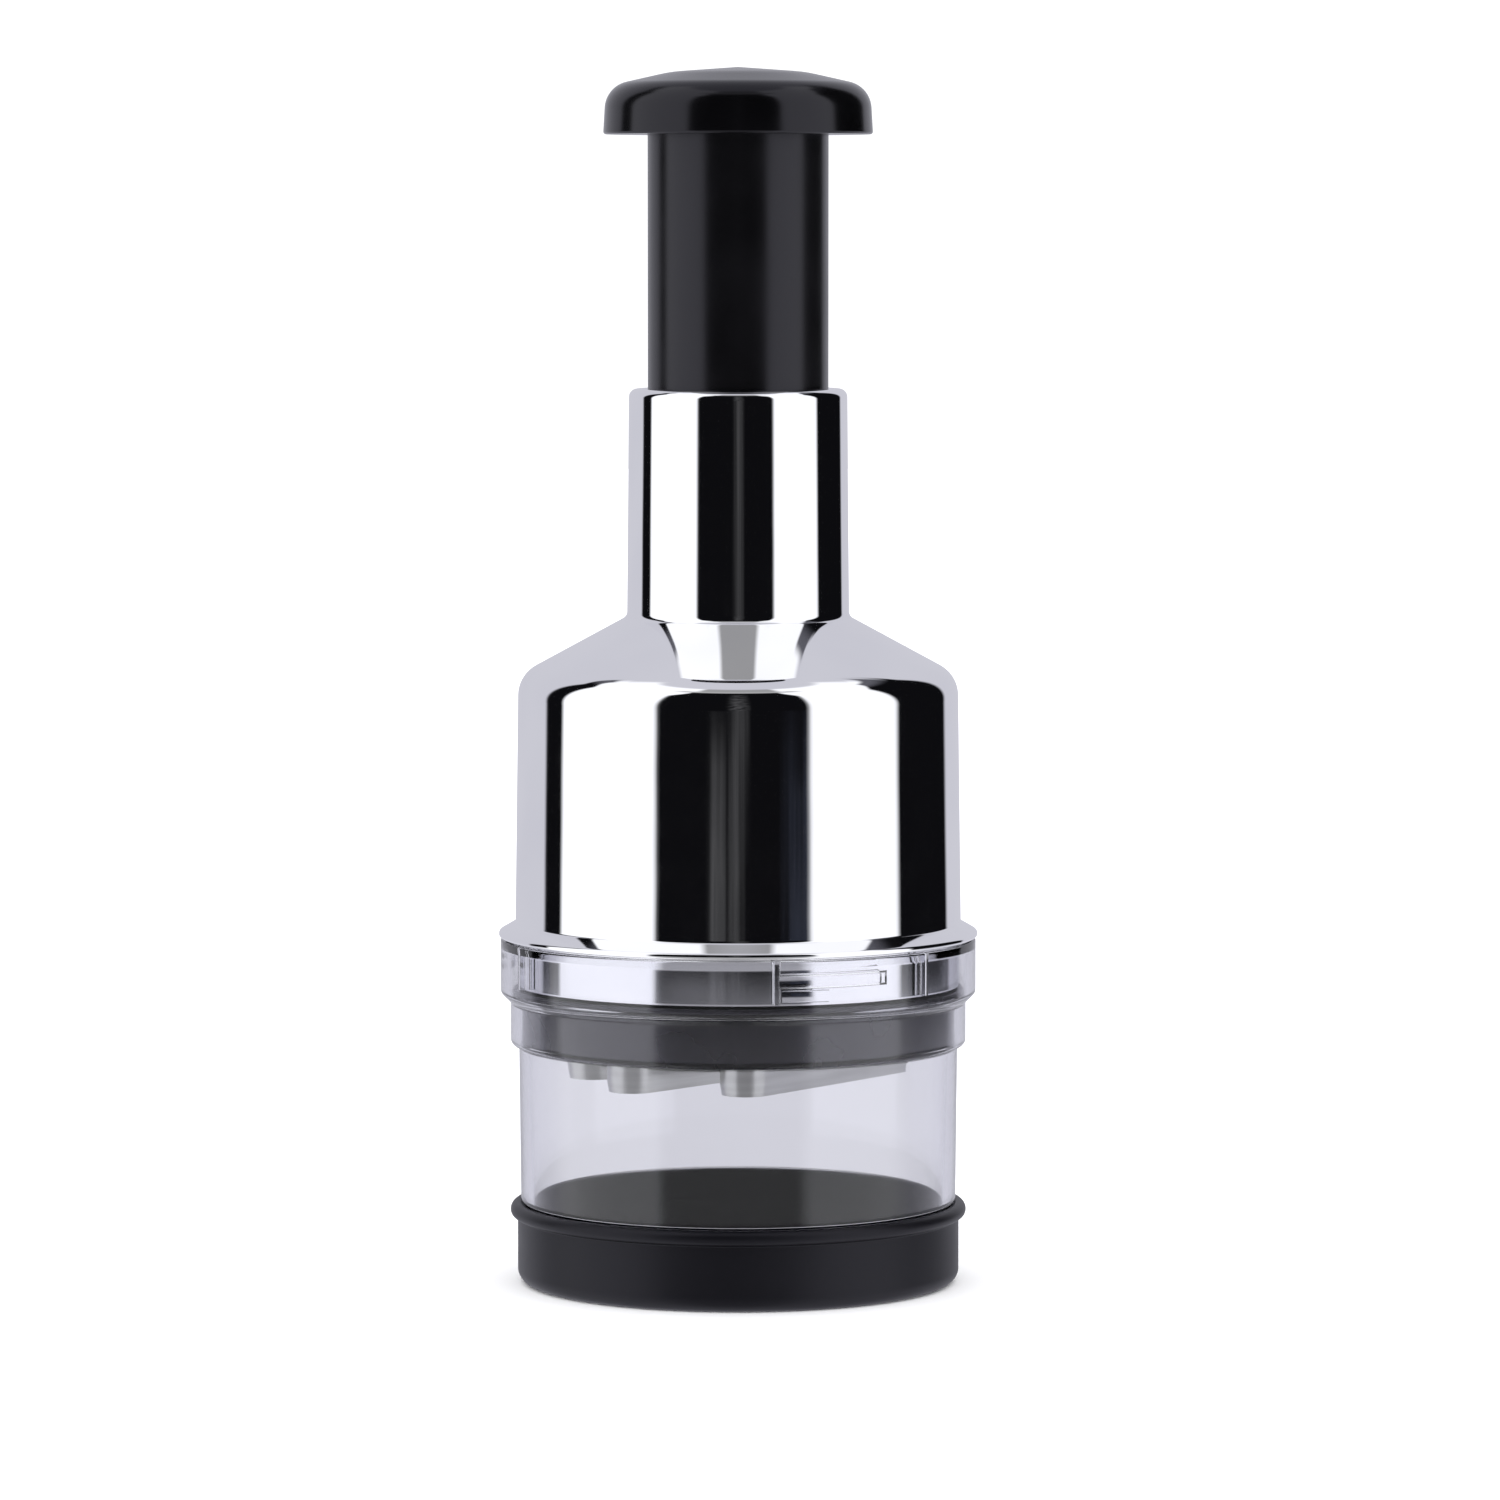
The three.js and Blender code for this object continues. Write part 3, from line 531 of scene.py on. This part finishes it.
def housing():
    flange = reach("housing_shell")
    neck_top = high("housing_shell")
    neck_height = 41.1
    neck_taper = 0.4
    neck_fillet = 1.5
    rim_height = 1.0
    rim_clearance = 0.8
    cone_height = 10.7
    shoulder_fillet = 6
    inner_shoulder_fillet = 5
    body_taper = 0.6
    flare_height = 1.73
    flare_fillet = 0.4
    flange_side = 0.9
    upper_flange_fillet = 0.5
    lower_flange_fillet = 0.35
    neck_bottom = neck_top - neck_height
    shoulder = neck_bottom - cone_height
    flange_bottom = high("chopping_chamber") + GAP
    flange_top = flange_bottom + flange_side
    flare_top = flange_top + flare_height
    neck_inner = reach("neck_bush") + GAP
    neck = neck_inner + SHELL_WALL
    neck_root = neck + neck_taper
    body = reach("inner_frame") + GAP + SHELL_WALL
    body_low = body + body_taper
    bore = reach("plunger_tube") + rim_clearance
    rim = neck_top - rim_height
    slope = (neck_bottom - shoulder) / (body - neck_root)
    cone_wall = SHELL_WALL * math.hypot(1, slope)
    skirt_inner = SKIRT - SHELL_WALL
    outline = [
        (bore, neck_top, EDGE),
        (neck, neck_top, neck_fillet),
        (neck_root, neck_bottom, neck_fillet),
        (body, shoulder, shoulder_fillet),
        (body_low, flare_top, flare_fillet),
        (flange, flange_top, upper_flange_fillet),
        (flange, flange_bottom, lower_flange_fillet),
        (SKIRT, flange_bottom, EDGE),
        (SKIRT, SKIRT_BOTTOM, EDGE),
        (skirt_inner, SKIRT_BOTTOM, EDGE),
        (skirt_inner, flange_top, SOFT_EDGE),
        (body_low - SHELL_WALL, flare_top, SOFT_EDGE),
        (body - SHELL_WALL, shoulder + slope - cone_wall, inner_shoulder_fillet),
        (neck_inner, neck_bottom + (neck_root - neck_inner) * slope - cone_wall, SOFT_EDGE),
        (neck_inner, rim, EDGE),
        (bore, rim, EDGE),
    ]
    lug_root = SKIRT - SHELL_WALL / 2
    lug_end = COLLAR_INNER - GAP
    section = [
        (lug_root, LUG_BOTTOM),
        (lug_end, LUG_BOTTOM, EDGE),
        (lug_end, LUG_TOP, EDGE),
        (lug_root, LUG_TOP),
    ]
    starts = [turn + LUG_START for turn in TRACK_TURNS]
    lugs = [ring_part("lug", section, start, start + LUG_SWEEP) for start in starts]
    shown(
        "housing_fine", combined(turned("housing", outline), lugs, "UNION"),
        material="chrome", body="housing", node="housing_shell",
    )


# Plunger tube and domed knob

def plunger_tube():
    tube = reach("plunger_tube")
    bottom = low("plunger_tube")
    top = high("plunger_tube")
    wall = 1.6
    outline = [
        (tube - wall, bottom, EDGE),
        (tube, bottom, EDGE),
        (tube, top, EDGE),
        (tube - wall, top, EDGE),
    ]
    shown(
        "plunger_tube_fine", turned("plunger_tube", outline),
        material="tube_black", body="plunger", node="plunger_tube",
    )


def push_knob():
    knob = reach("push_knob")
    top = high("push_knob")
    inside_bottom = low("push_knob")
    tube_in_knob = 4.5
    side_height = 8.6
    side_draft = 0.5
    side_fillet = 5
    cavity = 8.0
    bottom = high("plunger_tube") - tube_in_knob
    side_top = bottom + side_height
    dome = top - side_top
    socket = reach("plunger_tube") + GAP
    socket_top = high("plunger_tube") + GAP
    boss = reach("shaft_hub")
    outline = [
        (0, top),
        (knob / 2, top - dome / 4, knob),
        (knob - side_draft, side_top, side_fillet),
        (knob, bottom, SOFT_EDGE),
        (socket, bottom, EDGE),
        (socket, socket_top, EDGE),
        (boss, socket_top, EDGE),
        (boss, inside_bottom, EDGE),
        (cavity, inside_bottom, EDGE),
        (cavity, top - cavity, EDGE),
        (0, top - cavity),
    ]
    shown(
        "push_knob_fine", turned("push_knob", outline),
        material="knob_black", body="plunger", node="push_knob",
    )


# Blade: one strip that runs to and fro, in the blade's own plan with x along its legs

THICKNESS = 0.9
CARRIER_MARGIN = 1.5
BEND_CLEARANCE = 0.9
BLADE_REACH = reach("blade_carrier") - CARRIER_MARGIN
BEND_SHARES = (-0.565, 0.742, -0.84, 0.742, -0.565)
MIDDLE_BEND = len(BEND_SHARES) // 2
PITCH = 3 / 11 * BLADE_REACH
BEND_RADIUS = (PITCH - BEND_CLEARANCE) / 2
END_ALONG = 0.71 * BLADE_REACH
END_ACROSS = 0.59 * BLADE_REACH
BLADE_TURNED = Matrix.Rotation(math.radians(48.9), 3, "Z")
TAB_LENGTH = 5
# The leg that each tab stands on, and how far along it
TABS = ((0, 0.35), (2, 0.93), (3, 0.07), (5, 0.65))


def blade_stops():
    """The blade's two free ends and its bends in order, as (x, y, radius, turn)."""
    stops = [(END_ALONG, -END_ACROSS, 0, 1)]
    for i, share in enumerate(BEND_SHARES):
        stops.append((share * BLADE_REACH, (i - MIDDLE_BEND) * PITCH, BEND_RADIUS, 1 if i % 2 else -1))
    return [*stops, (END_ALONG, END_ACROSS, 0, 1)]


def on_bend(stop, heading):
    """The point of a bend where the strip has a heading."""
    x, y, radius, turn = stop
    return x + turn * radius * math.sin(heading), y - turn * radius * math.cos(heading), heading


def blade_line():
    """The middle line of the strip as (x, y, heading), and its straight legs."""
    stops = blade_stops()
    legs = []
    for a, b in zip(stops, stops[1:]):
        lean = math.asin((a[2] + b[2]) / math.hypot(b[0] - a[0], b[1] - a[1]))
        heading = math.atan2(b[1] - a[1], b[0] - a[0]) + a[3] * lean
        legs.append((on_bend(a, heading), on_bend(b, heading)))
    line = [legs[0][0]]
    for bend, into, out in zip(stops[1:-1], legs, legs[1:]):
        first = into[1][2]
        sweep = bend[3] * (((out[0][2] - first) * bend[3]) % (2 * math.pi))
        for step in range(BEND_STEPS + 1):
            line.append(on_bend(bend, first + sweep * step / BEND_STEPS))
    line.append(legs[-1][1])
    return line, legs


def strip(name, line, layers):
    """A closed strip through layers of (thickness, height) from the bottom up."""
    verts = []
    for thickness, z in layers:
        for out in (thickness / 2, -thickness / 2):
            for x, y, heading in line:
                point = Vector((x + out * math.sin(heading), y - out * math.cos(heading), z))
                verts.append(BLADE_TURNED @ point)
    faces = []
    count = len(line)
    ring = 2 * count
    top = (len(layers) - 1) * ring
    for under in range(0, top, ring):
        over = under + ring
        for side in (0, count):
            for k in range(side, side + count - 1):
                faces.append((under + k, under + k + 1, over + k + 1, over + k))
        for k in (0, count - 1):
            faces.append((under + k, under + count + k, over + count + k, over + k))
    for under in (0, top):
        for k in range(under, under + count - 1):
            faces.append((k, k + 1, count + k + 1, count + k))
    return clean_mesh(name, verts, faces)


def tab(leg, along, bottom, top):
    """An upright tab on a leg of the blade, a little narrower at its top."""
    top_share = 0.8
    (x0, y0, heading), (x1, y1, _) = leg
    centre = Vector((x0 + (x1 - x0) * along, y0 + (y1 - y0) * along))
    forward = Vector((math.cos(heading), math.sin(heading))) * (TAB_LENGTH / 2)
    side = Vector((-math.sin(heading), math.cos(heading))) * THICKNESS / 2
    loops = []
    for z, share in ((bottom, 1.0), (top - SOFT_EDGE, 1.0), (top, top_share)):
        corners = [centre + forward * a * share + side * b for a, b in SQUARE]
        loops.append([BLADE_TURNED @ Vector((p.x, p.y, z)) for p in corners])
    return joined_loops("tab", loops)


def blade(line, legs):
    edge_thickness = 0.25
    bevel_height = 2
    back_chamfer = 0.2
    run_in = 1
    edge = low("chopping_blade")
    back = low("blade_carrier")
    layers = [
        (edge_thickness, edge),
        (THICKNESS, edge + bevel_height),
        (THICKNESS, back - GAP),
        (THICKNESS - back_chamfer, back),
    ]
    tabs = [tab(legs[i], along, back - run_in, high("chopping_blade")) for i, along in TABS]
    shown(
        "blade_fine", combined(strip("blade", line, layers), tabs, "UNION"),
        material="blade_steel", body="blades", node="chopping_blade",
    )


# Wiper: a shallow cup with a slot that the blade goes through

def wiper(line):
    lip = reach("wiper_disc")
    bottom = low("wiper_disc")
    top = high("wiper_disc")
    wall = 1.6
    floor_height = 2
    slot_clearance = 0.4
    overrun = 1
    cup = COLLAR_INNER - CLEAR_WALL - GAP
    floor_top = bottom + floor_height
    outline = [
        (0, bottom),
        (cup, bottom, SOFT_EDGE),
        (cup, top - WIPER_LIP, EDGE / 2),
        (lip, top - WIPER_LIP, EDGE),
        (lip, top, EDGE),
        (cup - wall, top, EDGE),
        (cup - wall, floor_top, SOFT_EDGE),
        (0, floor_top),
    ]
    slot_width = THICKNESS + 2 * slot_clearance
    slot = strip("slot", line, [(slot_width, bottom - overrun), (slot_width, floor_top + overrun)])
    shown(
        "wiper_fine", combined(turned("wiper", outline), [slot], "DIFFERENCE"),
        material="wiper_grey", body="wiper", node="wiper_disc",
    )


# Return spring: the node's own mesh copied, shaded smooth and finished in turned steel, in the node's
# place

def return_spring():
    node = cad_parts["return_spring"]
    piece = bpy.data.objects.new("return_spring_fine", coated(node.data.copy(), "turned_steel"))
    bpy.context.scene.collection.objects.link(piece)
    piece.matrix_world = node.matrix_world.copy()
    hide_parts("return_spring")
    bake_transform(piece)


base_cap()
chamber()
housing()
plunger_tube()
push_knob()
blade_middle, blade_legs = blade_line()
blade(blade_middle, blade_legs)
wiper(blade_middle)
return_spring()


# The nodes that no piece stands for keep their shape and get a finish

REPLACED = {
    "base_cap", "chopping_chamber", "housing_shell", "plunger_tube", "push_knob", "chopping_blade",
    "wiper_disc", "return_spring",
}
FINISH = {
    "neck_bush": "inner_black",
    "inner_frame": "white_plastic",
    "crown_ring": "crown_grey",
    "index_rotor": "white_plastic",
    "blade_carrier": "inner_black",
    "shaft_hub": "white_plastic",
}
for node_name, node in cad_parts.items():
    if node_name in REPLACED:
        continue
    finish = materials[FINISH.get(node_name, "turned_steel")]
    for place in node.material_slots:
        place.material = finish


# Studio: pale all round, with tall soft boxes and dark screens that only reflections show

PALE = (0.60, 0.60, 0.665, 1)
DARK = (0.004, 0.004, 0.005, 1)
NIGHT = (0, 0, 0, 1)
GLIMMER = (0.05, 0.05, 0.052, 1)
BLUE = (0.02, 0.023, 0.034, 1)
SOFTBOX = (1.08, 1.09, 1.13, 1)
SIDE = (0.11, 0.11, 0.13, 1)
DIM = (0.33, 0.33, 0.34, 1)
GREY = (0.45, 0.45, 0.46, 1)
TABLE_PALE = (0.66, 0.66, 0.735, 1)
TABLE_DIM = (0.4, 0.4, 0.415, 1)
# What light meets otherwise: all round, beyond clear plastic, and as fill on what isn't shiny
AROUND = (1.15, 1.15, 1.17, 1)
BEYOND = (0.80, 0.80, 0.83, 1)
FILL = (1.7, 1.7, 1.73, 1)

# Tones by the way they lie, in degrees from the camera's side, counted towards the right-hand side
SCREENS = [
    (-180, PALE), (-120.5, PALE), (-118, DARK), (-105, DARK), (-103, SOFTBOX), (-44.5, SOFTBOX),
    (-42, DARK), (36, DARK), (38.5, SOFTBOX), (89.5, SOFTBOX), (92.5, DARK), (135.5, DARK),
    (138.5, PALE), (180, PALE),
]
# The same towards the upper ends of the screens
UPPER_SCREENS = [
    (-180, PALE), (-121, PALE), (-117, SIDE), (-106, SIDE), (-103, SOFTBOX), (-44.5, SOFTBOX),
    (-42, DARK), (36, DARK), (38.5, SOFTBOX), (89.5, SOFTBOX), (93, SIDE), (122, SIDE), (129, PALE),
    (180, PALE),
]
# Faint lights in the dark middle, as the body sees them and as the neck does
BODY_LIGHTS = [
    (-16, NIGHT), (-13, GLIMMER), (-8, GLIMMER), (-5.5, NIGHT), (-4, GLIMMER), (0, GLIMMER),
    (4, NIGHT), (21, NIGHT), (27, BLUE), (36, BLUE), (38.5, NIGHT),
]
NECK_LIGHTS = [(-6, NIGHT), (-1, GLIMMER), (2, GLIMMER), (7, NIGHT)]
# What hangs over the table, as the cone sees it
HIGH_SCREENS = [
    (-180, PALE), (-135, PALE), (-118, SOFTBOX), (-35, SOFTBOX), (-28, DIM), (28, DIM),
    (35, SOFTBOX), (118, SOFTBOX), (135, PALE), (180, PALE),
]
# The same just under them, where the middle is wider
CEILING = [
    (-180, PALE), (-140, PALE), (-122, SOFTBOX), (-50, SOFTBOX), (-40, GREY), (40, GREY),
    (50, SOFTBOX), (122, SOFTBOX), (140, PALE), (180, PALE),
]
# The table round the object, which the chamber and the base see
TABLE = [
    (-180, TABLE_PALE), (-116, TABLE_PALE), (-102, SOFTBOX), (-45, SOFTBOX), (-39, TABLE_DIM),
    (32, TABLE_DIM), (40, SOFTBOX), (88, SOFTBOX), (104, TABLE_PALE), (180, TABLE_PALE),
]

# Heights over the horizon, in degrees, between which one set of tones gives way to the next
TABLE_TO_SCREENS = (-7.4, -5.95)
BODY_TO_NECK = (-3.7, -2.3)
SCREENS_TO_UPPER = (44, 52)
UPPER_TO_CEILING = (53, 56)
CEILING_TO_HIGH = (57.8, 58.7)
HIGH_TO_PALE = (66, 70.5)
# The screens lean between these heights: by MIDDLE_LEAN within SIDE_START of the front, as a share
# of a whole turn, and by SIDE_LEAN_LESS less beyond it
LEANING = (40, 56)
MIDDLE_LEAN = 0.3
SIDE_LEAN_LESS = 0.45
SIDE_START = 0.17


def studio():
    """The world: reflections see the screens, and everything else an even pale light."""
    world = bpy.data.worlds.new("studio")
    bpy.context.scene.world = world
    world.use_nodes = True
    world.cycles.sampling_method = "NONE"
    tree = world.node_tree
    new = tree.nodes.new
    link = tree.links.new
    way = new("ShaderNodeSeparateXYZ")
    link(new("ShaderNodeTexCoord").outputs["Generated"], way.inputs[0])

    def calculate(operation, a, b=None):
        made = new("ShaderNodeMath")
        made.operation = operation
        for socket, value in zip(made.inputs, (a, b)):
            if isinstance(value, (int, float)):
                socket.default_value = value
            elif value is not None:
                link(value, socket)
        return made.outputs[0]

    def tones(turn, screens):
        ramp = new("ShaderNodeValToRGB")
        marks = ramp.color_ramp.elements
        while len(marks) > 1:
            marks.remove(marks[-1])
        marks[0].position = screens[0][0] / 360 + 0.5
        marks[0].color = screens[0][1]
        for degrees, tone in screens[1:]:
            mark = marks.new(degrees / 360 + 0.5)
            mark.color = tone
        link(turn, ramp.inputs["Fac"])
        return ramp.outputs["Color"]

    def mixed(factor, a, b):
        made = new("ShaderNodeMix")
        made.data_type = "RGBA"
        for socket, value in zip(("Factor", "A", "B"), (factor, a, b)):
            if isinstance(value, tuple):
                made.inputs[socket].default_value = value
            else:
                link(value, made.inputs[socket])
        return made.outputs["Result"]

    def rising(heights):
        start, end = (math.sin(math.radians(degrees)) for degrees in heights)
        return spread(tree, way.outputs["Z"], lowest=0, highest=1, start=start, end=end)

    front = calculate("MULTIPLY", way.outputs["Y"], -1.0)
    azimuth = calculate("ARCTAN2", way.outputs["X"], front)
    turn = calculate("ADD", calculate("DIVIDE", azimuth, 2 * math.pi), 0.5)
    # Higher up, the dark middle gets narrower and the dark sides lie further round
    aside = calculate("SUBTRACT", turn, 0.5)
    outer = calculate("GREATER_THAN", calculate("ABSOLUTE", aside), SIDE_START)
    lean = calculate("SUBTRACT", MIDDLE_LEAN, calculate("MULTIPLY", outer, SIDE_LEAN_LESS))
    shift = calculate("MULTIPLY", calculate("MULTIPLY", aside, lean), rising(LEANING))
    leaning = calculate("ADD", turn, shift)
    # The faint lights are uneven and come on top of the screens
    shimmer = noise(tree, scale=14, detail=5, coordinates="Generated")
    strength = spread(tree, shimmer, lowest=0.2, highest=1.4, start=0.35, end=0.65, interpolation="LINEAR")
    lights = mixed(rising(BODY_TO_NECK), tones(turn, BODY_LIGHTS), tones(turn, NECK_LIGHTS))
    lit = new("ShaderNodeVectorMath")
    lit.operation = "MULTIPLY_ADD"
    for socket, value in zip(lit.inputs, (lights, strength, tones(leaning, SCREENS))):
        link(value, socket)
    walls = mixed(rising(SCREENS_TO_UPPER), lit.outputs["Vector"], tones(leaning, UPPER_SCREENS))
    room = mixed(rising(TABLE_TO_SCREENS), tones(turn, TABLE), walls)
    over = mixed(rising(UPPER_TO_CEILING), room, tones(turn, CEILING))
    ceiling = mixed(rising(CEILING_TO_HIGH), over, tones(turn, HIGH_SCREENS))
    dome = mixed(rising(HIGH_TO_PALE), ceiling, PALE)
    paths = new("ShaderNodeLightPath")
    mirrored = calculate("GREATER_THAN", paths.outputs["Glossy Depth"], 0.5)
    through = mixed(paths.outputs["Is Transmission Ray"], AROUND, BEYOND)
    even = mixed(paths.outputs["Is Diffuse Ray"], through, FILL)
    link(mixed(mirrored, even, dome), tree.nodes["Background"].inputs["Color"])


studio()
bpy.context.scene.view_settings.view_transform = "Standard"


# Pale floor, which reflections and clear plastic don't show

FLOOR_REACH = 4000
floor_corners = [(x * FLOOR_REACH, y * FLOOR_REACH, 0) for x, y in SQUARE]
floor_data = clean_mesh("floor", floor_corners, [(0, 1, 2, 3)])
floor = bpy.data.objects.new("floor", floor_data)
bpy.context.scene.collection.objects.link(floor)
floor.visible_glossy = False
floor.visible_transmission = False
floor_material, _, floor_shader = node_material("floor")
floor_shader.inputs["Base Color"].default_value = (0.93, 0.93, 0.935, 1)
floor_shader.inputs["Roughness"].default_value = 0.9
floor_shader.inputs["Specular IOR Level"].default_value = 0.0
floor_data.materials.append(floor_material)


# Camera, in front of the object and looking a little down and to the right

LOOKING_DOWN = 4.388
LOOKING_RIGHT = 0.0958
camera_data = bpy.data.cameras.new("camera")
camera_data.lens = 170.06
camera_data.sensor_width = 36
camera_data.clip_end = 20
camera = bpy.data.objects.new("camera", camera_data)
camera.location = (0, -1.28, 0.195)
camera.rotation_euler = (math.radians(90 - LOOKING_DOWN), 0, math.radians(-LOOKING_RIGHT))
bpy.context.scene.collection.objects.link(camera)
bpy.context.scene.camera = camera
